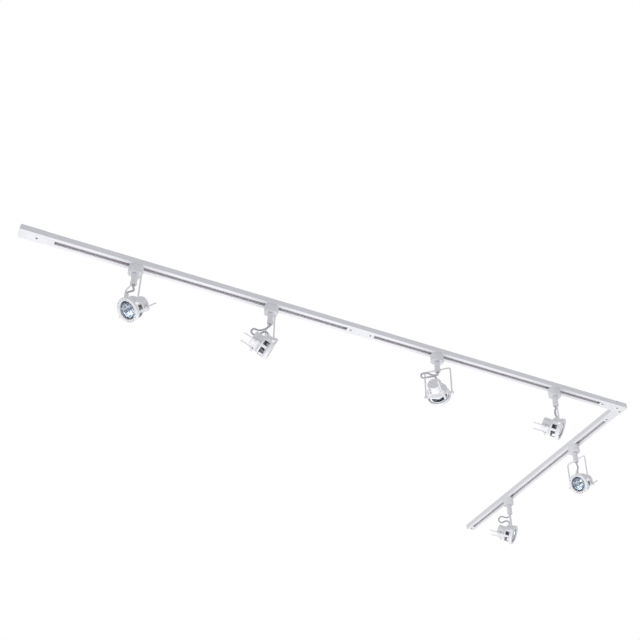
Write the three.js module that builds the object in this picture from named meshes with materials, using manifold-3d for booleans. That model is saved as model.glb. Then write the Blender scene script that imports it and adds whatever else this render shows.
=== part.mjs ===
// Single-circuit track lighting kit: an L of three track sections with six adjustable GU10 spotlights.
// Millimetres, +Z up. The origin is on the ceiling face, where the centre lines of the two arms cross.
// The long arm runs along -X and the short arm along +Y.
import * as THREE from 'three';
import { mergeVertices } from 'three/addons/utils/BufferGeometryUtils.js';
import Module from 'manifold-3d';

const wasm = await Module();
wasm.setup();

// ---- driving dimensions ----
const GAP = 0.3; // between pieces that touch

const TRACK = { width: 36, height: 18, section: 1000, mouth: 14, flange: 2.2, wall: 2.5 };
const LINER = { channel: 14, web: 2.2, groove: 2.5, grooveLow: 5.5, grooveHigh: 9 };
const CORNER_REACH = 25; // from the crossing of the centre lines to the end of each first section
const CORNER_OUTER = 21;
const LIVE_END = { length: 71.4, width: 38, height: 18.6, tongue: 29 };
const JOINER_HALF = 48;
const CORNER_TONGUE = 62;
const END_CAP = { thickness: 2.4, tongue: 25 };
const TONGUE = { width: 13.4, thickness: 3 }; // cover strips that close the slot at fittings
const FIXING_HOLES = { radius: 2.5, along: [100, 500, 900] };

const ADAPTER = { length: 43, width: 32, height: 28.2, chamfer: 7, rim: 1.6, recess: 1.2 };
const NECK = { length: 30, width: 12.4, height: 11, blade: 10, bladeLow: 6.2, bladeHigh: 8.3, clearance: 0.8 };
const STEM = { radius: 10, bottom: 69.6, collar: 6.8, hole: 4.7, holeDepth: 4.8 };
const YOKE = { rod: 2.5, bar: 61, half: 43, bend: 8, collarRadius: 6, collarIn: 38.4, collarOut: 46.5 };
const PIVOT_DROP = 160; // from the underside of the track to the tilt axis

const RING = { radius: 38, opening: 28, face: 10.5, rear: -1, shell: 2.4 };
const DRUM = { radius: 33.5, wall: 2.5, front: 3.6, rear: -25 };
const CAN = { radius: 22.5, wall: 2.2, front: -31, rear: -58 };
const WINDOW = { front: -4, rear: -20 };
// Windows: middle and half width in degrees round the head, 90 at its top.
const WINDOWS = [[270, 36], [206, 13], [334, 13]];
const LEGS = [225, 315]; // angles of the two prongs
const PRONG = { radius: 2.25, offset: 27, tip: -84, blockFront: -34, blockRear: -47, block: 9 };
const GLAND = { radius: 5, along: -15, lean: 50, length: 14 }; // it leans back from the top of the drum
const LAMP = { radius: 25, front: 7, rim: 3, neck: 9, neckStart: -24, end: -47 };
const CABLE = { radius: 3, sides: 8, steps: 8 };

// Where each spotlight sits along its arm, where it points (compass angle from +X and dip below the
// horizon, degrees), and the slack of its cable: points behind (+) the stem, above the tilt axis, to the side.
const SPOTS = [
  { arm: 'long', at: 1758, pan: -165, dip: 48, slack: [[4, 74, 0]] },
  { arm: 'long', at: 1332, pan: -3, dip: 26, slack: [[13, 73, 6], [30, 68, 13], [48, 68, 12], [54, 56, 13],
    [50, 49, 13], [36, 49, 13], [15, 60, 3]] },
  { arm: 'long', at: 747, pan: 45, dip: 10, slack: [[5, 78, 0], [20, 69, 12], [35, 70, 25], [42, 67, 41],
    [45, 56, 44], [44, 48, 39], [43, 48, 22], [30, 55, 3]] },
  { arm: 'long', at: 283, pan: -34, dip: 28, slack: [[5, 74, 2]] },
  { arm: 'short', at: 277, pan: -170, dip: 33, slack: [[9, 74, -3]] },
  { arm: 'short', at: 728, pan: -38, dip: 26, slack: [[3, 81, 0], [15, 77, 1], [35, 83, -1], [45, 77, -1],
    [46, 64, -1], [37, 57, 0], [17, 62, 0]] },
];

// ---- materials ----
const white = new THREE.MeshStandardMaterial({ color: 0xf2f1f3, roughness: 0.45, metalness: 0.0 });
const moulded = new THREE.MeshStandardMaterial({ color: 0xefeef1, roughness: 0.5, metalness: 0.0 });
const lining = new THREE.MeshStandardMaterial({ color: 0x8f8d92, roughness: 0.6, metalness: 0.0 });
const sleeve = new THREE.MeshStandardMaterial({ color: 0xc9c8cf, roughness: 0.55, metalness: 0.0 });
const reflector = new THREE.MeshStandardMaterial({ color: 0xb9c4d2, roughness: 0.12, metalness: 0.8 });

// ---- solids from three.js geometry ----
function toSolid(geometry) {
  geometry.deleteAttribute('normal');
  geometry.deleteAttribute('uv');
  const merged = mergeVertices(geometry, 1e-4);
  const p = merged.getAttribute('position').array;
  const corners = merged.getIndex().array;
  const faces = [];
  let volume = 0;
  for (let i = 0; i < corners.length; i += 3) {
    const [a, b, c] = [corners[i], corners[i + 1], corners[i + 2]];
    if (a === b || b === c || c === a) continue;
    faces.push([a, b, c]);
    const va = new THREE.Vector3().fromArray(p, 3 * a);
    const vb = new THREE.Vector3().fromArray(p, 3 * b);
    const vc = new THREE.Vector3().fromArray(p, 3 * c);
    volume += va.dot(vb.cross(vc));
  }
  const triVerts = new Uint32Array((volume > 0 ? faces : faces.map(([a, b, c]) => [a, c, b])).flat());
  return new wasm.Manifold(new wasm.Mesh({ numProp: 3, vertProperties: new Float32Array(p), triVerts }));
}

function toMesh(name, solid, material) {
  const mesh = solid.getMesh();
  const geometry = new THREE.BufferGeometry();
  geometry.setAttribute('position', new THREE.BufferAttribute(new Float32Array(mesh.vertProperties), 3));
  geometry.setIndex(new THREE.BufferAttribute(new Uint32Array(mesh.triVerts), 1));
  geometry.computeVertexNormals();
  const out = new THREE.Mesh(geometry, material);
  out.name = name;
  return out;
}

// A box from its low corner to its high corner.
function block(low, high) {
  const size = low.map((v, i) => high[i] - v);
  const g = new THREE.BoxGeometry(...size);
  g.translate(...low.map((v, i) => v + size[i] / 2));
  return toSolid(g);
}

// A closed profile of [radius, height] points turned about Z.
function turned(profile, segments) {
  const g = new THREE.LatheGeometry(profile.map(([r, h]) => new THREE.Vector2(r, h)), segments);
  g.rotateX(Math.PI / 2);
  return toSolid(g);
}

// A round bar between two heights on the Z axis.
function rod(radius, low, high, segments) {
  return turned([[0, low], [radius, low], [radius, high], [0, high]], segments);
}

// An outline in the XY plane raised from one height to another.
function raised(outline, low, high) {
  const drawn = outline instanceof THREE.Shape;
  const shape = drawn ? outline : new THREE.Shape(outline.map(([x, y]) => new THREE.Vector2(x, y)));
  const g = new THREE.ExtrudeGeometry(shape, { depth: high - low, bevelEnabled: false, curveSegments: 6 });
  g.translate(0, 0, low);
  return toSolid(g);
}

// A section across the track ([across, height above the underside]) run from x0 to x1.
function run(section, x0, x1) {
  const lift = (s) => s.rotate([90, 0, 0]).rotate([0, 0, 90]);
  return lift(raised(section, x0, x1)).translate([0, 0, -TRACK.height]);
}

const mirrored = (half) => [...half, ...half.map(([y, z]) => [-y, z]).reverse()];
const toX = (solid) => solid.rotate([0, 90, 0]); // turns a Z axis into the +X axis
const union = (solids) => solids.reduce((a, b) => a.add(b));
const rad = THREE.MathUtils.degToRad;

// ---- track ----
function trackSection(start) {
  const halfW = TRACK.width / 2;
  const inner = halfW - TRACK.wall;
  const mouth = TRACK.mouth / 2;
  const top = TRACK.height - TRACK.wall;
  const outside = [[mouth, 0], [halfW, 0], [halfW, TRACK.height]];
  const inside = [[mouth, TRACK.flange], [inner, TRACK.flange], [inner, top]];
  const section = [...mirrored(outside), ...mirrored(inside).reverse()];
  const holes = FIXING_HOLES.along.map((x) => rod(FIXING_HOLES.radius, -5, 5, 8).translate([start + x, 0, 0]));
  return run(section, start, start + TRACK.section).subtract(union(holes));
}

// The insulating liner inside a section: a channel with a groove for the conductor in each side.
// It stops short of the section's ends by the lengths of the fittings that plug in there.
function trackLiner(start, nearFitting, farFitting) {
  const out = TRACK.width / 2 - TRACK.wall - GAP;
  const low = TRACK.flange + GAP;
  const high = TRACK.height - TRACK.wall - GAP;
  const side = LINER.channel / 2;
  const deep = side + LINER.groove;
  const inside = [[side, low], [side, LINER.grooveLow], [deep, LINER.grooveLow], [deep, LINER.grooveHigh],
    [side, LINER.grooveHigh], [side, high - LINER.web]];
  const outer = [[out, low], [out, high]];
  const section = [...mirrored(outer), ...mirrored(inside).reverse()];
  return run(section, start + nearFitting + GAP, start + TRACK.section - farFitting - GAP);
}

// A strip that fills the mouth of the slot.
function slotStrip(x0, x1) {
  const half = TONGUE.width / 2;
  return block([x0, -half, -TRACK.height], [x1, half, -TRACK.height + TONGUE.thickness]);
}

// The inner body of a fitting that plugs into the cavity of a section.
function plug(x0, x1) {
  const half = TRACK.width / 2 - TRACK.wall - 1;
  const low = -TRACK.height + TRACK.flange + GAP;
  return block([x0, -half, low], [x1, half, -TRACK.wall - GAP]);
}

function liveEnd() {
  const start = CORNER_REACH + 2 * TRACK.section + GAP;
  const end = start + LIVE_END.length;
  const half = LIVE_END.width / 2;
  const chamfer = 2.5;
  const outline = [[start, -half], [end - chamfer, -half], [end, chamfer - half], [end, half - chamfer],
    [end - chamfer, half], [start, half]];
  const body = raised(outline, -LIVE_END.height, 0);
  const inside = start - LIVE_END.tongue;
  return union([body, slotStrip(inside, start + 1), plug(inside + 4, start + 1)]);
}

function straightJoiner() {
  const seam = CORNER_REACH + TRACK.section;
  const strip = slotStrip(seam - JOINER_HALF, seam + JOINER_HALF);
  return strip.add(plug(seam - JOINER_HALF + 4, seam + JOINER_HALF - 4));
}

function cornerConnector() {
  const reach = CORNER_REACH - GAP;
  const half = TRACK.width / 2 + 1;
  const outline = [[-reach, -half], [CORNER_OUTER - 3, -half], [CORNER_OUTER, 3 - half], [CORNER_OUTER, reach],
    [-half, reach], [-reach, half]];
  const body = raised(outline, -LIVE_END.height, 0);
  const arm = slotStrip(reach - 1, reach + CORNER_TONGUE).add(plug(reach - 1, reach + CORNER_TONGUE - 4));
  return union([body, arm.rotate([0, 0, 180]), arm.rotate([0, 0, 90])]);
}

function endCap() {
  const start = CORNER_REACH + TRACK.section + GAP;
  const half = TRACK.width / 2;
  const plate = block([start, -half, -TRACK.height], [start + END_CAP.thickness, half, 0]);
  const inside = start - END_CAP.tongue;
  return union([plate, slotStrip(inside, start + 1), plug(inside + 3, start + 1)]);
}

// ---- spotlight, pieces under the track (Z = 0 at the underside of the track) ----
function adapterOutline(inset) {
  const halfW = ADAPTER.width / 2 - inset;
  const square = ADAPTER.length / 2 - inset;
  const { chamfer } = ADAPTER;
  const round = ADAPTER.length / 2 - ADAPTER.width / 2;
  const shape = new THREE.Shape();
  shape.moveTo(-square, chamfer - halfW);
  shape.lineTo(chamfer - square, -halfW);
  shape.lineTo(round, -halfW);
  shape.absarc(round, 0, halfW, -Math.PI / 2, Math.PI / 2, false);
  shape.lineTo(chamfer - square, halfW);
  shape.lineTo(-square, halfW - chamfer);
  return shape;
}

function adapterHousing() {
  const bottom = -ADAPTER.height;
  const body = raised(adapterOutline(0), bottom, -GAP);
  return body.subtract(raised(adapterOutline(ADAPTER.rim), bottom - 1, bottom + ADAPTER.recess));
}

// The neck that passes up through the slot, with a contact blade in each conductor groove.
function contactNeck() {
  const half = NECK.width / 2;
  const neck = block([-NECK.length / 2, -half, 0], [NECK.length / 2, half, NECK.height]);
  const reach = LINER.channel / 2 + LINER.groove - NECK.clearance;
  return neck.add(block([-NECK.blade / 2, -reach, NECK.bladeLow], [NECK.blade / 2, reach, NECK.bladeHigh]));
}

function stem() {
  const top = -ADAPTER.height - GAP + ADAPTER.recess;
  const low = -STEM.bottom;
  const r = STEM.radius;
  const body = turned([[0, low], [r - 1.5, low], [r, low + 2.5], [r, top - 6], [STEM.collar, top - 5],
    [STEM.collar, top], [0, top]], 12);
  const cableHole = rod(STEM.hole, low - 1, low + STEM.holeDepth, 8);
  const rodHole = rod(YOKE.rod + GAP + 0.1, -20, 20, 8).rotate([90, 0, 0]).translate([0, 0, -YOKE.bar]);
  return body.subtract(cableHole).subtract(rodHole);
}

// One bent rod through the stem, with the pivot collars that its ends are fixed in.
function yoke() {
  const { rod: radius, bar, half, bend, collarRadius, collarIn, collarOut } = YOKE;
  const end = half - bend + GAP;
  const cross = rod(radius, -end, end, 8).rotate([90, 0, 0]).translate([0, 0, -bar]);
  const arm = rod(radius, collarRadius - 1 - PIVOT_DROP, GAP - bar - bend, 8).translate([0, half, 0]);
  const at = (y, z) => new THREE.Vector3(0, y, z);
  const curve = new THREE.QuadraticBezierCurve3(at(half - bend, -bar), at(half, -bar), at(half, -bar - bend));
  const elbow = toSolid(sweep(curve, radius + 0.1, 8, 4)); // a touch fuller than the rods that end in it
  const collar = rod(collarRadius, collarIn, collarOut, 12).rotate([-90, 0, 0]).translate([0, 0, -PIVOT_DROP]);
  const side = union([arm, elbow, collar]);
  return union([cross, side, side.mirror([0, 1, 0])]);
}

// A round section run along a curve.
function sweep(path, radius, sides, steps) {
  const angles = Array.from({ length: sides }, (_, i) => (2 * Math.PI * i) / sides);
  const corners = angles.map((a) => new THREE.Vector2(radius * Math.cos(a), radius * Math.sin(a)));
  return new THREE.ExtrudeGeometry(new THREE.Shape(corners), { extrudePath: path, steps, bevelEnabled: false });
}

// ---- spotlight head (origin on the tilt axis, +X out through the lamp, tilt axis along Y) ----
function frontRing() {
  const { radius, opening, face, rear, shell } = RING;
  const lip = opening + 2;
  return toX(turned([[opening, face - 7.5], [opening, face], [radius, face], [radius, rear],
    [radius - shell, rear], [radius - shell, face - 3], [lip, face - 3], [lip, face - 7.5],
    [opening, face - 7.5]], 24));
}

function lampHousing() {
  const drumIn = DRUM.radius - DRUM.wall;
  const canIn = CAN.radius - CAN.wall;
  const shell = toX(turned([[DRUM.radius, DRUM.front], [DRUM.radius, DRUM.rear], [CAN.radius, CAN.front],
    [CAN.radius, CAN.rear + 2], [CAN.radius - 2, CAN.rear], [0, CAN.rear], [0, CAN.rear + 3],
    [canIn, CAN.rear + 3], [canIn, CAN.front + 1], [drumIn, DRUM.rear + 1], [drumIn, DRUM.front],
    [DRUM.radius, DRUM.front]], 18));
  const around = (solid, angle) => solid.rotate([angle - 90, 0, 0]); // angle 90 is the top of the head
  const reach = 50;
  const windows = WINDOWS.map(([middle, half]) => {
    const wedge = reach * Math.tan(rad(half));
    const cutter = raised([[0, 0], [wedge, reach], [-wedge, reach]], WINDOW.rear, WINDOW.front);
    return around(toX(cutter.rotate([0, 0, 90]).rotate([0, 0, 180])), middle);
  });
  const halfBlock = PRONG.block / 2;
  const foot = CAN.radius - 3;
  const outer = PRONG.offset + halfBlock;
  const seat = block([PRONG.blockRear, -halfBlock, foot], [PRONG.blockFront, halfBlock, outer]);
  const bridge = block([PRONG.blockFront - 1, -2, foot], [DRUM.rear + 1, 2, PRONG.offset + 1]);
  const prong = toX(rod(PRONG.radius, PRONG.tip, PRONG.blockFront - 2, 6)).translate([0, 0, PRONG.offset]);
  const mounts = LEGS.flatMap((a) => [seat, bridge, prong].map((s) => around(s, a)));
  const gland = rod(GLAND.radius, -8, GLAND.length, 10).rotate([0, -GLAND.lean, 0])
    .translate([GLAND.along, 0, DRUM.radius]);
  const cavity = toX(turned([[0, CAN.rear + 3], [canIn, CAN.rear + 3], [canIn, CAN.front + 1],
    [drumIn, DRUM.rear + 1], [drumIn, DRUM.front + 1], [0, DRUM.front + 1]], 18));
  const outside = union([...mounts, gland]).subtract(cavity);
  return union([shell.subtract(union(windows)), outside]);
}

function lamp() {
  const { radius, front, rim, neck, neckStart, end } = LAMP;
  return toX(turned([[0, end], [neck, end], [neck, neckStart], [neck + 8, neckStart + 10], [radius, rim],
    [radius, front], [0, front + 0.8]], 18));
}

function cable(spot) {
  const dip = rad(spot.dip);
  const fromHead = (x, z) => [
    -x * Math.cos(dip) - z * Math.sin(dip),
    z * Math.cos(dip) - x * Math.sin(dip),
    0,
  ];
  const stemFoot = PIVOT_DROP - STEM.bottom;
  const lean = rad(GLAND.lean);
  const beyondGland = (d) => {
    const out = GLAND.length + d;
    return fromHead(GLAND.along - out * Math.sin(lean), DRUM.radius + out * Math.cos(lean));
  };
  const points = [[0, stemFoot + STEM.holeDepth - 0.6, 0], [0, stemFoot - 4, 0], ...spot.slack,
    beyondGland(7), beyondGland(GAP)];
  const path = new THREE.CatmullRomCurve3(
    points.map(([back, up, side]) => new THREE.Vector3(-back, side, up - PIVOT_DROP)), false, 'centripetal');
  return toSolid(sweep(path, CABLE.radius, CABLE.sides, CABLE.steps + 2 * spot.slack.length));
}

function spotlight(spot, index) {
  const name = `spot${index + 1}`;
  const armTurn = spot.arm === 'long' ? 180 : 90;
  const group = new THREE.Group();
  group.position.set(spot.at, 0, -TRACK.height);
  const adapter = toMesh(`${name}_adapter_housing`, adapterHousing(), moulded);
  const neck = toMesh(`${name}_contact_neck`, contactNeck(), moulded);
  const onAdapter = new THREE.Group();
  onAdapter.rotation.z = spot.arm === 'long' ? 0 : Math.PI; // the round end faces the live end
  onAdapter.add(adapter, neck);
  const swivel = new THREE.Group();
  swivel.rotation.z = rad(spot.pan - armTurn);
  swivel.add(toMesh(`${name}_stem`, stem(), white), toMesh(`${name}_yoke`, yoke(), white));
  swivel.add(toMesh(`${name}_cable`, cable(spot), sleeve));
  const head = new THREE.Group();
  head.position.z = -PIVOT_DROP;
  head.rotation.y = rad(spot.dip);
  head.add(toMesh(`${name}_front_ring`, frontRing(), white));
  head.add(toMesh(`${name}_lamp_housing`, lampHousing(), white));
  head.add(toMesh(`${name}_gu10_lamp`, lamp(), reflector));
  swivel.add(head);
  group.add(onAdapter, swivel);
  return group;
}

// ---- assembly: each arm has its own frame, with X running out from the corner ----
const kit = new THREE.Group();
const longArm = new THREE.Group();
longArm.rotation.z = Math.PI;
const shortArm = new THREE.Group();
shortArm.rotation.z = Math.PI / 2;
kit.add(longArm, shortArm);

const secondStart = CORNER_REACH + TRACK.section;
longArm.add(toMesh('long_arm_track_inner', trackSection(CORNER_REACH), white));
longArm.add(toMesh('long_arm_track_outer', trackSection(secondStart + GAP / 2), white));
shortArm.add(toMesh('short_arm_track', trackSection(CORNER_REACH), white));
const innerLiner = trackLiner(CORNER_REACH, CORNER_TONGUE, JOINER_HALF);
longArm.add(toMesh('long_arm_liner_inner', innerLiner, lining));
longArm.add(toMesh('long_arm_liner_outer', trackLiner(secondStart, JOINER_HALF, LIVE_END.tongue), lining));
shortArm.add(toMesh('short_arm_liner', trackLiner(CORNER_REACH, CORNER_TONGUE, END_CAP.tongue), lining));
longArm.add(toMesh('live_end', liveEnd(), moulded));
longArm.add(toMesh('straight_joiner', straightJoiner(), moulded));
kit.add(toMesh('corner_connector', cornerConnector(), moulded));
shortArm.add(toMesh('end_cap', endCap(), moulded));
SPOTS.forEach((spot, index) => (spot.arm === 'long' ? longArm : shortArm).add(spotlight(spot, index)));

export default kit;
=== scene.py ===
"""Looks for the single-circuit track lighting kit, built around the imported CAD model.

The row frame has its origin on the ceiling face where the two arms cross, +Z up, the long arm along -X and
the short arm along +Y. Shapes are drawn in millimetres and become metres when a mesh is made.
"""

import math

import bmesh
import bpy
import numpy as np
from mathutils import Matrix, Vector


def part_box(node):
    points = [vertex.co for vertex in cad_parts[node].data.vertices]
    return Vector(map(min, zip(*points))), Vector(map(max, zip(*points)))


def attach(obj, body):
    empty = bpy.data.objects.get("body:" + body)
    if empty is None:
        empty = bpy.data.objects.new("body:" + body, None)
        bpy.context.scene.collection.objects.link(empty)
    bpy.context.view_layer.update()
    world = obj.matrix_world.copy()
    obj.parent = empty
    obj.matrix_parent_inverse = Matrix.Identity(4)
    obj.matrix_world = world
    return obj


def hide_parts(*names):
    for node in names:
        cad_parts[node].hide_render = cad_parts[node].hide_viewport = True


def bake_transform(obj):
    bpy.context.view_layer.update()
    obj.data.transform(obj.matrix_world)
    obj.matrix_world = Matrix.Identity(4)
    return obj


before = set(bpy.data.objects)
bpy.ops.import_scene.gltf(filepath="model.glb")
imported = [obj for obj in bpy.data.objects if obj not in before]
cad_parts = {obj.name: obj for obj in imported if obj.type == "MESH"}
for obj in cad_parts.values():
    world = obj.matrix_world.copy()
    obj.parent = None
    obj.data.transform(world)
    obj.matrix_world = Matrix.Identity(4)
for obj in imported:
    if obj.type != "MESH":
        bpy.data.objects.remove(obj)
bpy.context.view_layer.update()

MM = 0.001

# ---- dimensions that the looks share with the CAD, in millimetres ----
TRACK_DROP = 18.0  # from the ceiling to the underside of the track
FITTING_DROP = 18.6  # to the underside of the live end and the corner connector
PIVOT_DROP = 160.0  # from the underside of the track to the tilt axis
ADAPTER_LENGTH, ADAPTER_WIDTH, ADAPTER_HEIGHT, ADAPTER_CHAMFER = 43.0, 32.0, 28.2, 7.0
STEM_BOTTOM, HOLE_RADIUS, HOLE_DEPTH = 69.6, 4.7, 4.8
YOKE_ROD, YOKE_BAR, YOKE_HALF, YOKE_BEND = 2.5, 61.0, 43.0, 8.0
RING_RADIUS, RING_OPENING, RING_FACE, RING_REAR = 38.0, 28.0, 10.5, -1.0
DRUM_RADIUS, DRUM_FRONT, DRUM_REAR = 33.5, 3.6, -25.0
CAN_RADIUS, CAN_FRONT, CAN_REAR = 22.5, -31.0, -58.0
WINDOW_FRONT, WINDOW_REAR = -4.0, -20.0
PRONG_OFFSET, PRONG_TIP, BLOCK_FRONT, BLOCK_REAR = 27.0, -84.0, -34.0, -47.0
GLAND_ALONG, GLAND_LEAN, GLAND_LENGTH = -15.0, math.radians(50), 14.0
GAP = 0.3
CABLE_RADIUS = 3.0

# Each spotlight: arm, distance along it, compass angle and dip of its aim, and the slack of its cable as
# points behind the stem, above the tilt axis and to the side. The slack of spotlights 2, 3 and 6 was
# moved by a search program, by up to 8 mm, for wider bends and more room.
SPOTS = [
    ("long", 1758, -165, 48, [(4, 74, 0)]),
    ("long", 1332, -3, 26, [(13, 73, 6), (30, 68, 13), (48, 68, 12), (54, 56, 13), (50, 49, 13),
                            (36, 49, 13), (15, 60, 3)]),
    ("long", 747, 45, 10, [(5, 78, 0), (20, 69, 12), (35, 70, 25), (42, 67, 41), (45, 56, 44),
                           (44, 48, 39), (43, 48, 22), (30, 55, 3)]),
    ("long", 283, -34, 28, [(5, 74, 2)]),
    ("short", 277, -170, 33, [(9, 74, -3)]),
    ("short", 728, -38, 26, [(3, 81, 0), (15, 77, 1), (35, 83, -1), (45, 77, -1), (46, 64, -1),
                             (37, 57, 0), (17, 62, 0)]),
]
LEGS = (225, 315)  # angles of the prongs round the head; 90 is its top
WINDOWS = ((270, 36), (206, 13), (334, 13))  # middles and half widths of the windows, in degrees


# ---- shapes: (vertices, faces) in millimetres ----
def joined(*shapes):
    """Several closed shapes as one."""
    verts, faces = [], []
    for some_verts, some_faces in shapes:
        faces += [tuple(i + len(verts) for i in face) for face in some_faces]
        verts += list(some_verts)
    return verts, faces


def moved(shape, matrix):
    return [matrix @ Vector(v) for v in shape[0]], shape[1]


def turn_z_to_x(shape):
    return moved(shape, Matrix.Rotation(math.pi / 2, 4, "Y"))


def spun(angle):
    """A turn about the head's X axis that takes its top to an angle."""
    return Matrix.Rotation(math.radians(angle - 90), 4, "X")


def rounded(points, radius, steps=4, closed=True):
    """A profile with its corners rounded; a point may carry a radius of its own as a third value."""
    out = []
    count = len(points)
    for i, point in enumerate(points):
        here = Vector(point[:2])
        reach = point[2] if len(point) > 2 else radius
        if reach <= 0 or (not closed and i in (0, count - 1)):
            out.append(tuple(here))
            continue
        before = Vector(points[i - 1][:2]) - here
        after = Vector(points[(i + 1) % count][:2]) - here
        cut = min(reach, before.length * 0.49, after.length * 0.49)
        a, b = here + before.normalized() * cut, here + after.normalized() * cut
        for k in range(steps + 1):
            t = k / steps
            out.append(tuple(a * (1 - t) ** 2 + here * 2 * t * (1 - t) + b * t**2))
    return out


def turned(profile, segments, closed=False):
    """A profile of (radius, height) about Z: a ring, or a solid that starts and ends on the axis."""
    rows = profile if closed else profile[1:-1]
    verts = []
    for radius, height in rows:
        for k in range(segments):
            turn = 2 * math.pi * k / segments
            verts.append((radius * math.cos(turn), radius * math.sin(turn), height))
    faces = []
    for i in range(len(rows) if closed else len(rows) - 1):
        j = (i + 1) % len(rows)
        for k in range(segments):
            n = (k + 1) % segments
            faces.append((i * segments + k, i * segments + n, j * segments + n, j * segments + k))
    if not closed:
        for row, height in ((0, profile[0][1]), (len(rows) - 1, profile[-1][1])):
            verts.append((0, 0, height))
            for k in range(segments):
                faces.append((row * segments + k, row * segments + (k + 1) % segments, len(verts) - 1))
    return verts, faces


def bar(radius, low, high, segments=24, edge=0.0):
    """A round bar on the Z axis with rounded ends."""
    profile = [(0, low, 0), (radius, low), (radius, high), (0, high, 0)]
    return turned(rounded(profile, edge, closed=False), segments)


def layered(outlines):
    """A solid through outlines of equal length, each a list of points, with flat ends."""
    size = len(outlines[0])
    verts = [p for outline in outlines for p in outline]
    faces = [
        (i * size + k, i * size + (k + 1) % size, (i + 1) * size + (k + 1) % size, (i + 1) * size + k)
        for i in range(len(outlines) - 1)
        for k in range(size)
    ]
    last = (len(outlines) - 1) * size
    return verts, [*faces, tuple(range(size)), tuple(last + k for k in range(size))]


def block(low, high):
    (x0, y0, z0), (x1, y1, z1) = low, high
    return layered([[(x0, y0, z), (x1, y0, z), (x1, y1, z), (x0, y1, z)] for z in (z0, z1)])


def tube(line, radius, sides):
    """A round tube along a line, with flat ends."""
    tangent = np.gradient(line, axis=0)
    tangent /= np.linalg.norm(tangent, axis=1)[:, None]
    side = np.cross(tangent[0], (0.3, 0.9, 0.1))
    rings = []
    for point, along in zip(line, tangent):
        side = side - along * (side @ along)
        side /= np.linalg.norm(side)
        other = np.cross(along, side)
        turns = [2 * math.pi * k / sides for k in range(sides)]
        rings.append([tuple(point + radius * (math.cos(t) * side + math.sin(t) * other)) for t in turns])
    return layered(rings)


# ---- meshes and pieces ----
def mesh_of(name, shape, sharp=32):
    """A mesh in metres, shaded smooth except over edges sharper than an angle."""
    mesh = bpy.data.meshes.new(name)
    mesh.from_pydata([tuple(c * MM for c in v) for v in shape[0]], [], shape[1])
    draft = bmesh.new()
    draft.from_mesh(mesh)
    bmesh.ops.remove_doubles(draft, verts=draft.verts, dist=1e-7)
    bmesh.ops.recalc_face_normals(draft, faces=draft.faces)
    draft.to_mesh(mesh)
    draft.free()
    shade(mesh, sharp)
    return mesh


def shade(mesh, sharp):
    mesh.polygons.foreach_set("use_smooth", [True] * len(mesh.polygons))
    mesh.set_sharp_from_angle(angle=math.radians(sharp))


def worked(name, shape, cuts=(), adds=(), bevel=0.0, sharp=32):
    """A mesh after unions, cuts and a bevel of its sharp edges."""
    body = bpy.data.objects.new(name, mesh_of(name, shape, sharp))
    helpers = []
    for operation, others in (("UNION", adds), ("DIFFERENCE", cuts)):
        for other in others:
            helper = bpy.data.objects.new(name + "_tool", mesh_of(name + "_tool", other))
            bpy.context.scene.collection.objects.link(helper)
            helpers.append(helper)
            modifier = body.modifiers.new(operation, "BOOLEAN")
            modifier.operation = operation
            modifier.object = helper
            modifier.solver = "EXACT"
    if bevel:
        modifier = body.modifiers.new("bevel", "BEVEL")
        modifier.width = bevel * MM
        modifier.segments = 2
        modifier.limit_method = "ANGLE"
        modifier.angle_limit = math.radians(40)
    bpy.context.scene.collection.objects.link(body)
    graph = bpy.context.evaluated_depsgraph_get()
    mesh = bpy.data.meshes.new_from_object(body.evaluated_get(graph), depsgraph=graph)
    mesh.name = name
    for used in [*helpers, body]:
        data = used.data
        bpy.data.objects.remove(used)
        bpy.data.meshes.remove(data)
    shade(mesh, sharp)
    return mesh


def piece(name, mesh, matrix, body, material, replaces=()):
    """An object that rides on a body; pieces of the same kind share one mesh."""
    if not mesh.materials:
        mesh.materials.append(material)
    made = bpy.data.objects.new(name, mesh)
    bpy.context.scene.collection.objects.link(made)
    made.matrix_world = matrix
    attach(made, body)
    if replaces:
        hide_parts(*replaces)
    return made


# ---- materials ----
def new_material(name, **sockets):
    material = bpy.data.materials.new(name)
    material.use_nodes = True
    shader = material.node_tree.nodes["Principled BSDF"]
    for socket, value in sockets.items():
        shader.inputs[socket.replace("_", " ")].default_value = value
    return material, material.node_tree, shader


def noise(tree, scale, detail=3.0, coordinates="Object"):
    where = tree.nodes.new("ShaderNodeTexCoord")
    texture = tree.nodes.new("ShaderNodeTexNoise")
    texture.inputs["Scale"].default_value = scale
    texture.inputs["Detail"].default_value = detail
    tree.links.new(where.outputs[coordinates], texture.inputs["Vector"])
    return texture.outputs["Fac"]


def ramped(tree, factor, stops, target):
    """Colours a socket by a factor, with (place, colour) stops."""
    ramp = tree.nodes.new("ShaderNodeValToRGB")
    elements = ramp.color_ramp.elements
    while len(elements) < len(stops):
        elements.new(0.5)
    for element, (place, colour) in zip(elements, stops):
        element.position = place
        element.color = (*colour, 1)
    tree.links.new(factor, ramp.inputs["Fac"])
    tree.links.new(ramp.outputs["Color"], target)


def ranged(tree, factor, low, high, target):
    """Drives a number between two values by a factor that is mostly between 0.3 and 0.7."""
    scale = tree.nodes.new("ShaderNodeMapRange")
    scale.inputs["From Min"].default_value = 0.3
    scale.inputs["From Max"].default_value = 0.7
    scale.inputs["To Min"].default_value = low
    scale.inputs["To Max"].default_value = high
    tree.links.new(factor, scale.inputs["Value"])
    tree.links.new(scale.outputs["Result"], target)


def bumped(tree, shader, height, strength, distance):
    bump = tree.nodes.new("ShaderNodeBump")
    bump.inputs["Strength"].default_value = strength
    bump.inputs["Distance"].default_value = distance
    tree.links.new(height, bump.inputs["Height"])
    tree.links.new(bump.outputs["Normal"], shader.inputs["Normal"])


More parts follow.
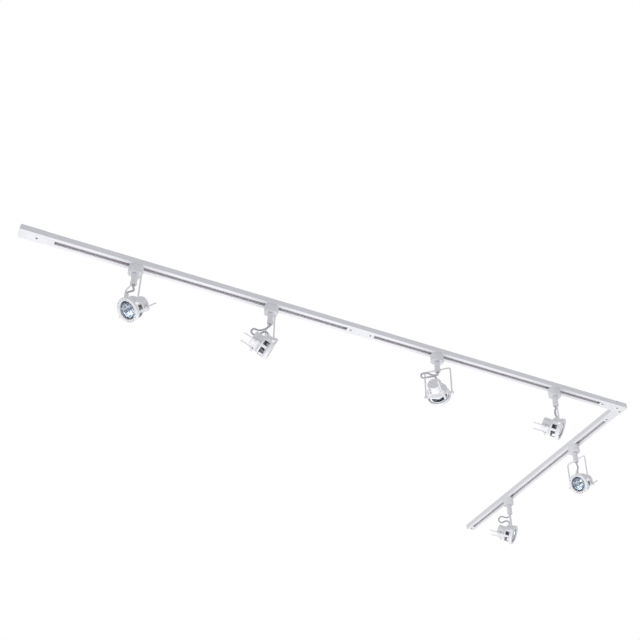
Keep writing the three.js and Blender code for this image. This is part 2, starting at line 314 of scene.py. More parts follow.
def finish_material(name, colour, rough, grain, depth, patch=18, spread=0.03, **sockets):
    """Paint, moulding or metal: slow colour drift, uneven gloss and a fine surface grain."""
    material, tree, shader = new_material(name, **sockets)
    slow = noise(tree, patch)
    darker = tuple(c * (1 - spread) for c in colour)
    lighter = tuple(min(1.0, c * (1 + spread)) for c in colour)
    ramped(tree, slow, [(0.3, darker), (0.7, lighter)], shader.inputs["Base Color"])
    ranged(tree, noise(tree, patch * 6), rough * 0.85, rough * 1.15, shader.inputs["Roughness"])
    bumped(tree, shader, noise(tree, grain, 2.0), 0.35, depth)
    return material


powder = finish_material("powder_coat", (0.86, 0.86, 0.875), 0.4, 1500, 0.00009)
enamel = finish_material("track_enamel", (0.85, 0.85, 0.87), 0.34, 900, 0.00003, patch=4)
moulded = finish_material("moulded_white", (0.84, 0.84, 0.855), 0.46, 2600, 0.00003)
lining = finish_material("liner_moulding", (0.78, 0.775, 0.8), 0.45, 1800, 0.00003, patch=6)
copper = finish_material("copper_strip", (0.5, 0.34, 0.28), 0.3, 700, 0.00001, spread=0.12, Metallic=1.0)
zinc = finish_material("zinc_steel", (0.5, 0.5, 0.53), 0.32, 1200, 0.00002, spread=0.1, Metallic=1.0)
black_steel = finish_material(
    "blackened_steel", (0.1, 0.1, 0.115), 0.45, 1200, 0.00002, spread=0.15, Metallic=0.6)
# Near-black matt paint for the disc behind the ring's vent holes: painted shade that makes the holes look
# dark, not a real rubber gasket.
vent_shade_disc = finish_material("vent_shade_black", (0.02, 0.02, 0.022), 0.8, 1500, 0.00005, spread=0.2)
ceramic = finish_material("lamp_ceramic", (0.78, 0.76, 0.7), 0.6, 1500, 0.00005)
tungsten = finish_material("filament", (0.42, 0.4, 0.38), 0.4, 3000, 0.00002, Metallic=1.0)


def facets(tree, scale):
    """A random value for each small cell, like the facets of a mirror."""
    where = tree.nodes.new("ShaderNodeTexCoord")
    cells = tree.nodes.new("ShaderNodeTexVoronoi")
    cells.inputs["Scale"].default_value = scale
    tree.links.new(where.outputs["Object"], cells.inputs["Vector"])
    return cells.outputs["Color"]


def mirror_material():
    """Dichroic mirror: silver facets, a few of them deep blue."""
    material, tree, shader = new_material("dichroic_mirror", Metallic=1.0)
    ramped(tree, facets(tree, 330), [(0.16, (0.13, 0.19, 0.29)), (0.28, (0.55, 0.62, 0.71)),
                                     (0.38, (0.9, 0.93, 0.96)), (0.6, (0.98, 0.99, 1.0))],
           shader.inputs["Base Color"])
    ranged(tree, noise(tree, 300), 0.05, 0.16, shader.inputs["Roughness"])
    return material


def coated_glass():
    """The outside of the reflector: dark coated glass with a blue cast."""
    material, tree, shader = new_material("coated_glass", Metallic=0.55)
    ramped(tree, noise(tree, 120, 1.0), [(0.38, (0.05, 0.06, 0.08)), (0.5, (0.3, 0.34, 0.4)),
                                         (0.62, (0.8, 0.84, 0.9))], shader.inputs["Base Color"])
    ranged(tree, noise(tree, 260), 0.08, 0.22, shader.inputs["Roughness"])
    return material


def clear_glass(name, tint, rough):
    material, tree, shader = new_material(name, Base_Color=(*tint, 1), Transmission_Weight=1.0, IOR=1.46)
    ranged(tree, noise(tree, 150), rough * 0.6, rough * 1.4, shader.inputs["Roughness"])
    bumped(tree, shader, noise(tree, 60, 1.0), 0.2, 0.00002)
    return material


def braided_sleeve():
    """A woven sleeve: two sets of diagonal threads along the tube's own UV map."""
    material, tree, shader = new_material("braided_sleeve", Roughness=0.6, Sheen_Weight=0.15)
    where = tree.nodes.new("ShaderNodeUVMap")
    where.uv_map = "along"
    split = tree.nodes.new("ShaderNodeSeparateXYZ")
    tree.links.new(where.outputs["UV"], split.inputs["Vector"])

    def maths(operation, a, b):
        node = tree.nodes.new("ShaderNodeMath")
        node.operation = operation
        for socket, value in zip(node.inputs, (a, b)):
            if isinstance(value, (int, float)):
                socket.default_value = value
            elif value is not None:
                tree.links.new(value, socket)
        return node.outputs["Value"]

    along = maths("MULTIPLY", split.outputs["X"], 2 * math.pi * 0.45)
    around = maths("MULTIPLY", split.outputs["Y"], 2 * math.pi * 8)
    threads = [maths("SINE", maths(sign, along, around), None) for sign in ("ADD", "SUBTRACT")]
    weave = maths("ADD", maths("MULTIPLY", maths("MULTIPLY", *threads), 0.5), 0.5)
    ramped(tree, weave, [(0.1, (0.47, 0.47, 0.5)), (0.8, (0.66, 0.66, 0.69))], shader.inputs["Base Color"])
    bumped(tree, shader, weave, 0.6, 0.00015)
    return material


mirror = mirror_material()
shell_glass = coated_glass()
lens_glass = clear_glass("lens_glass", (0.94, 0.97, 1.0), 0.02)
rim_glass = clear_glass("rim_glass", (0.62, 0.68, 0.74), 0.1)
sleeve = braided_sleeve()


# ---- track and fittings: the CAD solids with softened edges, plus screws and conductors ----
def dress(node_name, material, edge):
    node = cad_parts[node_name]
    for slot in node.material_slots:
        slot.material = material
    bevel = node.modifiers.new("edge", "BEVEL")
    bevel.width = edge * MM
    bevel.segments = 2
    bevel.limit_method = "ANGLE"
    bevel.angle_limit = math.radians(40)


for name in ("long_arm_track_inner", "long_arm_track_outer", "short_arm_track"):
    dress(name, enamel, 0.4)
for name in ("long_arm_liner_inner", "long_arm_liner_outer", "short_arm_liner"):
    dress(name, lining, 0.15)
for name in ("live_end", "corner_connector", "end_cap", "straight_joiner"):
    dress(name, moulded, 0.5)

# A conductor strip of unit length, in its groove beside the slot.
STRIP_NEAR, STRIP_FAR, STRIP_LOW, STRIP_HIGH = 9.2, 9.42, 5.8, 8.7
strip_section = [
    (STRIP_NEAR, STRIP_LOW), (STRIP_FAR, STRIP_LOW), (STRIP_FAR, STRIP_HIGH), (STRIP_NEAR, STRIP_HIGH),
]
strip_shape = layered([[(x, y, z) for y, z in strip_section] for x in (0.0, 1.0)])


def conductors(label, liner, along_y):
    """The two copper strips in a liner's grooves."""
    low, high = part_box(liner)
    start, end = (low.y, high.y) if along_y else (low.x, high.x)
    for side, sign in (("left", 1), ("right", -1)):
        reach = end - start
        verts = [((start + x * reach) / MM, sign * y, z - TRACK_DROP) for x, y, z in strip_shape[0]]
        turn = Matrix.Rotation(math.pi / 2, 4, "Z") if along_y else Matrix.Identity(4)
        mesh = mesh_of(f"{label}_conductor_{side}", (verts, strip_shape[1]))
        piece(f"{label}_conductor_{side}", mesh, turn, "track", copper)


conductors("long_arm_inner", "long_arm_liner_inner", False)
conductors("long_arm_outer", "long_arm_liner_outer", False)
conductors("short_arm", "short_arm_liner", True)

# A countersunk cross-head screw, head down, its face at Z = 0.
cross = [block((-1.9, -0.35, -1), (1.9, 0.35, 1.1)), block((-0.35, -1.9, -1), (0.35, 1.9, 1.1))]
screw_profile = rounded(
    [(0, -0.35, 0), (3.1, -0.35), (3.3, 0.5), (1.6, 2.4), (1.6, 5), (0, 5, 0)], 0.3, closed=False)
screw_mesh = worked("cross_screw", turned(screw_profile, 24), cuts=cross)
SCREWS = [  # name, place along X and Y, how far below the ceiling its face is
    ("live_end_screw", -2046, 2, FITTING_DROP),
    ("joiner_screw_outer", -1060, 0, TRACK_DROP),
    ("joiner_screw_inner", -990, 0, TRACK_DROP),
    ("corner_screw_long", -75, 0, TRACK_DROP),
    ("corner_screw_centre", -13, -2, FITTING_DROP),
    ("corner_screw_outer", 9, 13, FITTING_DROP),
    ("corner_screw_short", 0, 75, TRACK_DROP),
    ("end_cap_screw", 0, 1016, TRACK_DROP),
]
for name, x, y, drop in SCREWS:
    place = Matrix.Translation((x * MM, y * MM, -drop * MM)) @ Matrix.Rotation(0.6 * (x % 7), 4, "Z")
    piece(name, screw_mesh, place, "track", black_steel)


# ---- shared meshes of a spotlight ----
def adapter_outline(inset, height):
    """The adapter's D shape: a square end with two chamfers and a half-round end."""
    half = ADAPTER_WIDTH / 2 - inset
    square = ADAPTER_LENGTH / 2 - inset
    centre = ADAPTER_LENGTH / 2 - ADAPTER_WIDTH / 2
    slope = inset * (math.sqrt(2) - 2) + ADAPTER_CHAMFER
    corners = [(-square, slope - half), (slope - square, -half)]
    turns = np.linspace(-math.pi / 2, math.pi / 2, 33)
    arc = [(centre + half * math.cos(t), half * math.sin(t)) for t in turns]
    outline = [*rounded_pair(*corners), *arc]
    outline += [(x, -y) for x, y in reversed(rounded_pair(*corners))]
    return [(x, y, height) for x, y in outline]


def rounded_pair(first, second):
    """The two ends of a chamfer, each a short run of points."""
    a, b = Vector(first), Vector(second)
    step = (b - a) * 0.12
    soft = 0.8
    return [(a.x, a.y + soft), tuple(a + step), tuple(b - step), (b.x + soft, b.y)]


bottom = -ADAPTER_HEIGHT
adapter_layers = [(1.0, -GAP), (0.3, -GAP), (0.0, -0.8), (0.0, bottom + 1.0), (0.25, bottom + 0.3),
                  (0.8, bottom), (1.5, bottom), (1.75, bottom + 0.15), (1.9, bottom + 1.1),
                  (2.3, bottom + 1.25)]
adapter_mesh = mesh_of("adapter", layered([adapter_outline(i, z) for i, z in adapter_layers]), 28)

low, top = -STEM_BOTTOM, -ADAPTER_HEIGHT - GAP + 1.2
stem_profile = rounded(
    [(0, low + HOLE_DEPTH, 0), (HOLE_RADIUS, low + HOLE_DEPTH), (HOLE_RADIUS, low, 0.7), (8.1, low, 0.8),
     (10.1, low + 3.0, 0.8), (10.1, low + 9.0, 0.3), (9.6, low + 9.5, 0.3), (9.1, top - 6.5, 0.8),
     (8.7, top - 5, 0.5), (6.8, top - 4.6, 0.3), (6.8, top, 0.3), (0, top, 0)], 0.4, closed=False)
stem_mesh = mesh_of("stem", turned(stem_profile, 48))


def yoke_line():
    """The bent rod, from one collar up, through the stem, and down to the other."""
    corner = [(YOKE_HALF - YOKE_BEND * (1 - math.cos(t)), -YOKE_BAR - YOKE_BEND * (1 - math.sin(t)))
              for t in np.linspace(0, math.pi / 2, 9)]
    arm = [(YOKE_HALF, z) for z in np.linspace(-PIVOT_DROP + 2, -YOKE_BAR - YOKE_BEND - 1, 8)]
    half = [*arm, *corner]
    return np.array([(0, y, z) for y, z in [*half, *[(-y, z) for y, z in reversed(half)]]])


yoke_mesh = mesh_of("yoke_rod", tube(yoke_line(), YOKE_ROD, 18))
collar_profile = rounded(
    [(0, 38.4, 0), (6.0, 38.4, 0.6), (6.0, 46.1, 0.9), (0, 46.4, 0)], 0.5, closed=False)
collar_mesh = mesh_of("pivot_collar", turned(collar_profile, 36))
head_profile = rounded([(0, 45.9, 0), (5.2, 45.9, 0.2), (5.2, 48.7, 0.8), (0, 49.0, 0)], 0.5, closed=False)
screw_slot = block((-7, -0.65, 47.7), (7, 0.65, 51))
pivot_screw_mesh = worked("pivot_screw", turned(head_profile, 36), cuts=[screw_slot])

ring_profile = rounded(
    [(RING_OPENING, RING_FACE - 7.5), (RING_OPENING, RING_FACE, 1.4), (RING_RADIUS, RING_FACE, 2.6),
     (RING_RADIUS - 0.5, RING_REAR, 0.8), (RING_RADIUS - 3, RING_REAR, 0.4),
     (RING_RADIUS - 2.8, RING_FACE - 3, 1), (RING_OPENING + 2, RING_FACE - 3, 1),
     (RING_OPENING + 2, RING_FACE - 7.5, 0.4)], 0.5)
VENTS = (50, 70, 90, 110, 130, 230, 250, 270, 290, 310)
VENT_RADIUS, VENT_CIRCLE = 1.75, 33.0
vent_bar = moved(bar(VENT_RADIUS, 0, 20, 16), Matrix.Translation((VENT_CIRCLE, 0, 0)))
# Angles run from the tilt axis, Y both before and after the turn to X, so they start a quarter turn on.
vents = [moved(vent_bar, Matrix.Rotation(math.radians(a + 90), 4, "Z")) for a in VENTS]
ring_mesh = worked("front_ring", turned(ring_profile, 96, closed=True), cuts=[joined(*vents)])
ring_mesh.transform(Matrix.Rotation(math.pi / 2, 4, "Y"))
# A black disc inside the ring, just behind the vent holes: painted shade standing in for the shadowed
# cavity, not a part of the lamp.
shade_disc_front, shade_disc_rear = RING_FACE - 4.4, RING_FACE - 5.2
shade_disc_profile = [(30.6, shade_disc_front), (35.6, shade_disc_front), (35.6, shade_disc_rear), (30.6, shade_disc_rear)]
shade_disc_mesh = mesh_of("vent_shade_disc", turn_z_to_x(turned(shade_disc_profile, 64, closed=True)))


def housing():
    """The windowed drum and the can behind it."""
    wall = 2.3
    profile = rounded(
        [(DRUM_RADIUS, DRUM_FRONT), (DRUM_RADIUS, DRUM_REAR, 2.2), (CAN_RADIUS + 0.6, CAN_FRONT, 1.6),
         (CAN_RADIUS, CAN_FRONT - 2.5, 0.5), (CAN_RADIUS, -44.5, 0.25), (CAN_RADIUS - 0.55, -44.9, 0.2),
         (CAN_RADIUS - 0.55, -45.7, 0.2), (CAN_RADIUS, -46.1, 0.25), (CAN_RADIUS, CAN_REAR + 0.3, 2.6),
         (15.5, CAN_REAR, 0.6), (14.6, CAN_REAR + 1.1, 0.6),
         (6.5, CAN_REAR + 1.1, 0.4), (6.0, CAN_REAR + 0.2, 0.4),
         (0.9, CAN_REAR + 0.2, 0.2), (0.9, CAN_REAR + 3, 0.2), (CAN_RADIUS - wall, CAN_REAR + 3, 1.5),
         (CAN_RADIUS - wall, CAN_FRONT + 1, 1), (DRUM_RADIUS - wall, DRUM_REAR + 1.5, 2),
         (DRUM_RADIUS - wall, DRUM_FRONT)], 0.3)
    shell = turn_z_to_x(turned(profile, 96, closed=True))
    cuts = []
    for middle, half in WINDOWS:
        near, far = 6 * math.tan(math.radians(half)), 50 * math.tan(math.radians(half))
        window = layered([[(x, near, 6), (x, -near, 6), (x, -far, 50), (x, far, 50)]
                          for x in (WINDOW_REAR, WINDOW_FRONT)])
        cuts.append(moved(window, spun(middle)))
    return worked("housing", shell, cuts=cuts, bevel=0.35)


housing_mesh = housing()

block_shape = block((BLOCK_REAR, -4.5, CAN_RADIUS - 2.5), (BLOCK_FRONT, 4.5, PRONG_OFFSET + 4.5))
bridge_shape = layered([
    [(x, -w, CAN_RADIUS - 3), (x, w, CAN_RADIUS - 3), (x, w, z), (x, -w, z)]
    for x, w, z in ((BLOCK_FRONT - 3, 3.4, 29.5), (-29, 3.0, 31.5), (DRUM_REAR + 2, 2.8, 33.4))
])
block_mesh = worked("prong_block", block_shape, adds=[bridge_shape], bevel=0.9)
prong_profile = rounded(
    [(0, PRONG_TIP, 0), (2.25, PRONG_TIP, 2.0), (2.25, -40, 0), (0, -40, 0)], 0.3, closed=False)
prong_mesh = mesh_of("prong", turned(prong_profile, 20))
collet_profile = rounded([(2.3, -50.5), (3.6, -50.5, 0.5), (3.6, -46), (2.3, -46)], 0.2)
collet_mesh = mesh_of("prong_collet", turned(collet_profile, 24, closed=True))
thumb_profile = rounded(
    [(0, 31, 0), (1.9, 31, 0.1), (1.9, 33.2, 0.1), (3.2, 33.2, 0.3), (3.2, 37.6, 0.7), (0, 37.9, 0)],
    0.3, closed=False)
thumb_slot = block((-4, -0.45, 36.9), (4, 0.45, 39))
thumb_mesh = worked("thumb_screw", turned(thumb_profile, 14), cuts=[thumb_slot], sharp=24)
side_screw_profile = rounded([(0, 4.2, 0), (2.6, 4.2, 0.1), (2.6, 5.5, 0.5), (0, 5.7, 0)], 0.3, closed=False)
side_slot = block((-3, -0.4, 4.9), (3, 0.4, 7))
side_screw_mesh = worked("side_screw", turned(side_screw_profile, 24), cuts=[side_slot])
boss_profile = rounded([(0, 30, 0), (7.2, 30, 0.1), (7.0, 37.7, 0.9), (0, 38.1, 0)], 0.5, closed=False)
boss_mesh = mesh_of("pivot_boss", turned(boss_profile, 36))
fin_mesh = worked("pivot_fin", layered([
    [(x, -w, 31), (x, w, 31), (x, w * 0.7, y), (x, -w * 0.7, y)]
    for x, w, y in ((-4, 2.6, 37.5), (-14, 2.0, 35.6), (-21, 1.4, 33.6))
]), bevel=0.5)
gland_profile = rounded(
    [(0, -8, 0), (6.4, -8), (6.4, 2.5, 0.8), (5.0, 3.2, 0.6), (5.0, 12.2, 0.4), (5.4, 12.6, 0.4),
     (5.4, 14, 0.8), (3.25, 14, 0.3), (3.25, 11, 0.2), (0, 11, 0)], 0.4, closed=False)
gland_mesh = mesh_of("cable_gland", turned(gland_profile, 36))


# ---- the lamp: a faceted reflector behind a glass lens, in a glass shell ----
def bowl_radius(along, wide, narrow):
    """The bowl's radius between its neck at -24 and its rim at 4."""
    return narrow + (wide - narrow) * math.sqrt(max(0.0, (along + 24) / 28))


def faceted_bowl(wide, narrow, thickness, rings, segments, dimple):
    """A thin bowl whose rows of facets are staggered and slightly dished."""
    stops = [-24 + 28 * (i / rings) ** 1.25 for i in range(rings + 1)]
    verts, faces = [], []
    for wall in (0.0, thickness):
        for i, along in enumerate(stops):
            for k in range(segments):
                turn = 2 * math.pi * (k + 0.5 * (i % 2)) / segments
                dished = dimple * ((k + i) % 2) if 0 < i < rings else 0.0
                radius = bowl_radius(along, wide, narrow) - wall - dished
                verts.append((radius * math.cos(turn), radius * math.sin(turn), along))
    size = (rings + 1) * segments
    for base in (0, size):
        for i in range(rings):
            for k in range(segments):
                a, b = base + i * segments + k, base + i * segments + (k + 1) % segments
                faces.append((a, b, b + segments, a + segments))
    for row in (0, rings):
        for k in range(segments):
            a, b = row * segments + k, row * segments + (k + 1) % segments
            faces.append((a, b, b + size, a + size))
    return verts, faces


shell_mesh = mesh_of("lamp_shell", turn_z_to_x(faceted_bowl(24.9, 9.2, 0.9, 9, 44, 0.35)), 3)
mirror_mesh = mesh_of("lamp_mirror", turn_z_to_x(faceted_bowl(23.6, 8.0, 0.5, 11, 36, 0.5)), 3)
rim_profile = rounded([(22.6, 3.0), (25.0, 3.0, 0.5), (25.0, 7.0, 1.2), (22.9, 7.2, 0.8)], 0.3)
rim_mesh = mesh_of("lamp_rim", turn_z_to_x(turned(rim_profile, 96, closed=True)))
dome = [(22.8 * s, 6.5 + 1.2 * (1 - s * s)) for s in np.linspace(0, 1, 9)]
lens_profile = [(0, 4.9), *[(22.8 * s, 4.9) for s in np.linspace(0.2, 1, 6)], *reversed(dome[1:]), dome[0]]
lens_mesh = mesh_of("lamp_lens", turn_z_to_x(turned(lens_profile, 96)))
bulb = [(4.6 * math.cos(t), -8 + 5.5 * math.sin(t)) for t in np.linspace(0, math.pi / 2, 9)][:-1]
capsule_profile = [(0, -22), (4.2, -22), (4.6, -19), *bulb, (0, -2.5)]
capsule_mesh = mesh_of("lamp_capsule", turn_z_to_x(turned(capsule_profile, 32)))
coil_turns = np.linspace(0, 10 * math.pi, 120)
coil = np.array([(-12 + 0.18 * t, 1.1 * math.cos(t), 1.1 * math.sin(t)) for t in coil_turns])
filament_mesh = mesh_of("lamp_filament", tube(coil, 0.28, 8))
base_profile = rounded(
    [(0, -40, 0), (9.4, -40, 0.8), (9.4, -28, 0.8), (8.6, -24, 0.5), (0, -24, 0)], 0.4, closed=False)
base_mesh = mesh_of("lamp_base", turn_z_to_x(turned(base_profile, 36)))
pin_profile = rounded(
    [(0, -46.8, 0), (2.4, -46.8, 0.4), (2.4, -44.6, 0.2), (1.5, -44.4, 0.2), (1.5, -39, 0), (0, -39, 0)],
    0.2, closed=False)
pin_mesh = mesh_of("lamp_pin", turn_z_to_x(turned(pin_profile, 20)))
contact_mesh = worked("contact_tip", block((-4.4, 8.8, 6.5), (4.4, 9.12, 8.0)), bevel=0.1)


# ---- cables ----
def cable_points(dip, slack):
    """The points of a cable's route in its swivel's frame, in millimetres."""
    cos, sin = math.cos(dip), math.sin(dip)

    def from_head(along, up):
        return (-along * cos - up * sin, up * cos - along * sin, 0.0)

    def beyond_gland(distance):
        out = GLAND_LENGTH + distance
        return from_head(GLAND_ALONG - out * math.sin(GLAND_LEAN), DRUM_RADIUS + out * math.cos(GLAND_LEAN))

    foot = PIVOT_DROP - STEM_BOTTOM
    route = [(0, foot + HOLE_DEPTH - 0.6, 0), (0, foot - 4, 0), *slack, beyond_gland(7), beyond_gland(GAP)]
    return np.array([(-back, side, up - PIVOT_DROP) for back, up, side in route], float)


def smooth_line(points, per_span):
    """A centripetal Catmull-Rom line through the points."""
    ends = [2 * points[0] - points[1], *points, 2 * points[-1] - points[-2]]
    line = []
    for p0, p1, p2, p3 in zip(ends, ends[1:], ends[2:], ends[3:]):
        t1 = np.linalg.norm(p1 - p0) ** 0.5
        t2 = t1 + np.linalg.norm(p2 - p1) ** 0.5
        t3 = t2 + np.linalg.norm(p3 - p2) ** 0.5
        for t in np.linspace(t1, t2, per_span, endpoint=False):
            a1 = p0 + (p1 - p0) * (t / t1)
            a2 = p1 + (p2 - p1) * ((t - t1) / (t2 - t1))
            a3 = p2 + (p3 - p2) * ((t - t2) / (t3 - t2))
            b1 = a1 + (a2 - a1) * (t / t2)
            b2 = a2 + (a3 - a2) * ((t - t1) / (t3 - t1))
            line.append(b1 + (b2 - b1) * ((t - t1) / (t2 - t1)))
    line.append(points[-1])
    return np.array(line)


CABLE_SIDES = 20


def cable_mesh(name, line):
    """The sleeve's tube, with a UV map of millimetres along it and turns around it."""
    verts, faces = tube(line, CABLE_RADIUS, CABLE_SIDES)
    mesh = bpy.data.meshes.new(name)
    mesh.from_pydata([tuple(c * MM for c in v) for v in verts], [], faces)
    reach = np.concatenate([[0], np.cumsum(np.linalg.norm(np.diff(line, axis=0), axis=1))])
    uv = mesh.uv_layers.new(name="along")
    for polygon in mesh.polygons:
        spots = [mesh.loops[i].vertex_index for i in polygon.loop_indices]
        last = any(v % CABLE_SIDES == CABLE_SIDES - 1 for v in spots) and len(spots) == 4
        for loop, v in zip(polygon.loop_indices, spots):
            around = 1.0 if last and v % CABLE_SIDES == 0 else (v % CABLE_SIDES) / CABLE_SIDES
            uv.data[loop].uv = (reach[v // CABLE_SIDES], around)
    shade(mesh, 60)
    return mesh


def add_cable(spot, swivel, dip, slack):
    line = smooth_line(cable_points(math.radians(dip), slack), 8)
    path = [swivel @ Vector(tuple(p * MM)) for p in line]
    mesh = cable_mesh(f"{spot}_cable_sleeve", np.array([p / MM for p in path]))
    mesh.materials.append(sleeve)
    cable = bpy.data.objects.new(f"{spot}_cable_sleeve", mesh)
    bpy.context.scene.collection.objects.link(cable)
    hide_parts(f"{spot}_cable")
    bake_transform(cable)


# ---- the six spotlights ----
def frames_of(arm, at, pan, dip):
    """The frames of a spotlight's adapter, swivel and head, in the row frame, in metres."""
    x, y = (-at, 0) if arm == "long" else (0, at)
    foot = Matrix.Translation((x * MM, y * MM, -TRACK_DROP * MM))
    slider = foot @ Matrix.Rotation(math.pi if arm == "long" else -math.pi / 2, 4, "Z")
    swivel = foot @ Matrix.Rotation(math.radians(pan), 4, "Z")
    drop = Matrix.Translation((0, 0, -PIVOT_DROP * MM))
    head = swivel @ drop @ Matrix.Rotation(math.radians(dip), 4, "Y")
    return slider, swivel, head


def shift(x, y, z):
    return Matrix.Translation((x * MM, y * MM, z * MM))


def add_spotlight(number, arm, at, pan, dip, slack):
    spot = f"spot{number}"
    slider, swivel, head = frames_of(arm, at, pan, dip)
    bodies = {"slider": slider, "swivel": swivel, "head": head}

    def add(kind, mesh, body, place, material, replaces=()):
        piece(f"{spot}_{kind}", mesh, bodies[body] @ place, f"{spot}_{body}", material,
              [f"{spot}_{node}" for node in replaces])

    here = Matrix.Identity(4)
    to_side = {"left": Matrix.Rotation(-math.pi / 2, 4, "X"), "right": Matrix.Rotation(math.pi / 2, 4, "X")}
    pivot = shift(0, 0, -PIVOT_DROP)

    add("adapter_shell", adapter_mesh, "slider", here, moulded, ["adapter_housing"])
    dress(f"{spot}_contact_neck", moulded, 0.3)
    add("contact_left", contact_mesh, "slider", here, copper)
    add("contact_right", contact_mesh, "slider", Matrix.Rotation(math.pi, 4, "Z"), copper)

    add("swivel_stem", stem_mesh, "swivel", here, powder, ["stem"])
    add("yoke_rod", yoke_mesh, "swivel", here, powder, ["yoke"])
    for side, turn in to_side.items():
        add(f"collar_{side}", collar_mesh, "swivel", pivot @ turn, powder)
        angled = Matrix.Rotation(0.9, 4, "Z")
        add(f"pivot_screw_{side}", pivot_screw_mesh, "swivel", pivot @ turn @ angled, powder)
        add(f"pivot_boss_{side}", boss_mesh, "head", turn, powder)
        add(f"pivot_fin_{side}", fin_mesh, "head", spun(0 if side == "left" else 180), powder)
    add_cable(spot, swivel, dip, slack)

    add("ring", ring_mesh, "head", here, powder, ["front_ring"])
    # The black disc behind the vent holes is painted shade, not a gasket.
    add("ring_vent_shade_disc", shade_disc_mesh, "head", here, vent_shade_disc)
    add("housing", housing_mesh, "head", here, powder, ["lamp_housing"])
    for leg, angle in enumerate(LEGS, 1):
        around = spun(angle)
        along = around @ shift(0, 0, PRONG_OFFSET) @ Matrix.Rotation(math.pi / 2, 4, "Y")
        middle = (BLOCK_FRONT + BLOCK_REAR) / 2
        add(f"prong_block_{leg}", block_mesh, "head", around, powder)
        add(f"prong_{leg}", prong_mesh, "head", along, powder)
        add(f"prong_collet_{leg}", collet_mesh, "head", along, powder)
        add(f"thumb_screw_{leg}", thumb_mesh, "head", around @ shift(middle, 0, 0), powder)
        for side, turn in to_side.items():
            place = around @ shift(middle, 0, PRONG_OFFSET) @ turn
            add(f"side_screw_{leg}_{side}", side_screw_mesh, "head", place, zinc)
    lean = Matrix.Rotation(-GLAND_LEAN, 4, "Y")
    add("gland", gland_mesh, "head", shift(GLAND_ALONG, 0, DRUM_RADIUS) @ lean, powder)

    add("lamp_lens", lens_mesh, "head", here, lens_glass, ["gu10_lamp"])
    add("lamp_rim", rim_mesh, "head", here, rim_glass)
    add("lamp_shell", shell_mesh, "head", here, shell_glass)
    add("lamp_mirror", mirror_mesh, "head", here, mirror)
    add("lamp_capsule", capsule_mesh, "head", here, lens_glass)
    add("lamp_filament", filament_mesh, "head", here, tungsten)
    add("lamp_base", base_mesh, "head", here, ceramic)
    for side, y in (("left", 5), ("right", -5)):
        add(f"lamp_pin_{side}", pin_mesh, "head", shift(0, y, 0), zinc)


for number, spec in enumerate(SPOTS, 1):
    add_spotlight(number, *spec)


# ---- floor, light and camera ----
FLOOR, FLOOR_HALF = -3.0, 14.0


def add_floor():
    """A wide pale floor, clear from below so that low views are not blocked."""
    mesh = bpy.data.meshes.new("floor")
    corners = [(x * FLOOR_HALF, y * FLOOR_HALF, FLOOR) for x, y in ((-1, -1), (1, -1), (1, 1), (-1, 1))]
    mesh.from_pydata(corners, [], [(0, 1, 2, 3)])
    floor = bpy.data.objects.new("floor", mesh)
    bpy.context.scene.collection.objects.link(floor)
    material, tree, shader = new_material("floor_paint", Roughness=0.9)
    stops = [(0.3, (0.83, 0.83, 0.84)), (0.7, (0.87, 0.87, 0.88))]
    ramped(tree, noise(tree, 0.6), stops, shader.inputs["Base Color"])
    side = tree.nodes.new("ShaderNodeNewGeometry")
    clear = tree.nodes.new("ShaderNodeBsdfTransparent")
    mix = tree.nodes.new("ShaderNodeMixShader")
    tree.links.new(side.outputs["Backfacing"], mix.inputs["Fac"])
    tree.links.new(shader.outputs["BSDF"], mix.inputs[1])
    tree.links.new(clear.outputs["BSDF"], mix.inputs[2])
    tree.links.new(mix.outputs["Shader"], tree.nodes["Material Output"].inputs["Surface"])
    mesh.materials.append(material)


def add_area(name, place, aim, size, power):
    light = bpy.data.lights.new(name, "AREA")
    light.shape = "SQUARE"
    light.size = size
    light.energy = power
    lamp = bpy.data.objects.new(name, light)
    bpy.context.scene.collection.objects.link(lamp)
    lamp.location = place
    lamp.rotation_mode = "QUATERNION"
    lamp.rotation_quaternion = (Vector(aim) - Vector(place)).to_track_quat("-Z", "Y")
    lamp.visible_camera = False


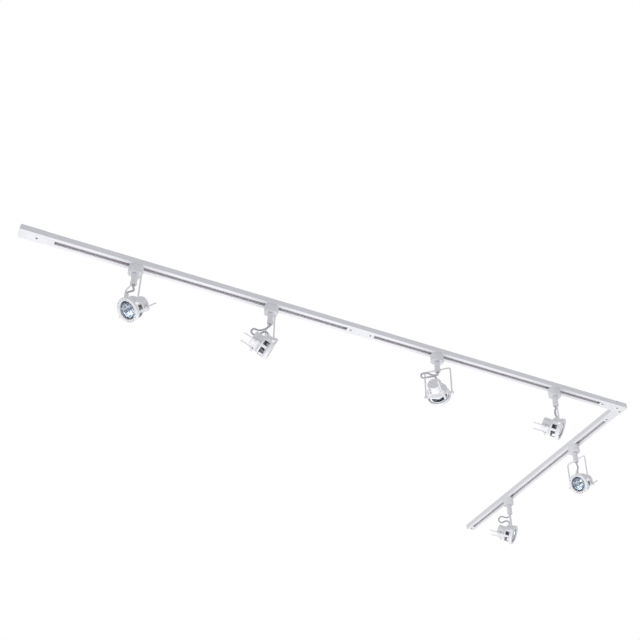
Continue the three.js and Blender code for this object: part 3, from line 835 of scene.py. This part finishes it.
def add_world():
    """White to the camera and in reflections, and a softer grey dome that lights the object."""
    world = bpy.data.worlds.new("studio")
    bpy.context.scene.world = world
    world.use_nodes = True
    tree = world.node_tree
    tree.nodes.clear()
    seen = tree.nodes.new("ShaderNodeBackground")
    seen.inputs["Color"].default_value = (1, 1, 1, 1)
    dome = tree.nodes.new("ShaderNodeBackground")
    dome.inputs["Color"].default_value = (0.95, 0.96, 1.0, 1)
    dome.inputs["Strength"].default_value = 0.61
    path = tree.nodes.new("ShaderNodeLightPath")
    either = tree.nodes.new("ShaderNodeMath")
    either.operation = "MAXIMUM"
    mix = tree.nodes.new("ShaderNodeMixShader")
    out = tree.nodes.new("ShaderNodeOutputWorld")
    tree.links.new(path.outputs["Is Camera Ray"], either.inputs[0])
    tree.links.new(path.outputs["Is Glossy Ray"], either.inputs[1])
    tree.links.new(either.outputs["Value"], mix.inputs["Fac"])
    tree.links.new(dome.outputs["Background"], mix.inputs[1])
    tree.links.new(seen.outputs["Background"], mix.inputs[2])
    tree.links.new(mix.outputs["Shader"], out.inputs["Surface"])


add_floor()
add_world()
add_area("key_from_below", (-1.3, 0.5, -2.7), (-1.1, 0.4, 0), 3.0, 44)
add_area("floor_wash", (-1.0, 0.0, -1.2), (-1.0, 0.0, -3.0), 4.0, 40)
bpy.context.scene.view_settings.view_transform = "Standard"


CAMERA_PLACE = (-2.179, -2.324, -2.034)
CAMERA_YAW, CAMERA_PITCH, CAMERA_ROLL = math.radians(26.54), math.radians(35.89), math.radians(-0.65)
CAMERA_LENS, CAMERA_SHIFT = 57.87, (-0.0669, 0.0752)


def add_camera():
    data = bpy.data.cameras.new("camera")
    camera = bpy.data.objects.new("camera", data)
    bpy.context.scene.collection.objects.link(camera)
    yaw, pitch, roll = CAMERA_YAW, CAMERA_PITCH, CAMERA_ROLL
    forward = Vector((math.sin(yaw) * math.cos(pitch), math.cos(yaw) * math.cos(pitch), math.sin(pitch)))
    level = Vector((math.cos(yaw), -math.sin(yaw), 0))
    upright = level.cross(forward)
    right = level * math.cos(roll) + upright * math.sin(roll)
    up = upright * math.cos(roll) - level * math.sin(roll)
    turn = Matrix((right, up, -forward)).transposed().to_4x4()
    camera.matrix_world = Matrix.Translation(CAMERA_PLACE) @ turn
    data.sensor_width = 36.0
    data.lens = CAMERA_LENS
    data.shift_x, data.shift_y = CAMERA_SHIFT
    bpy.context.scene.camera = camera


add_camera()
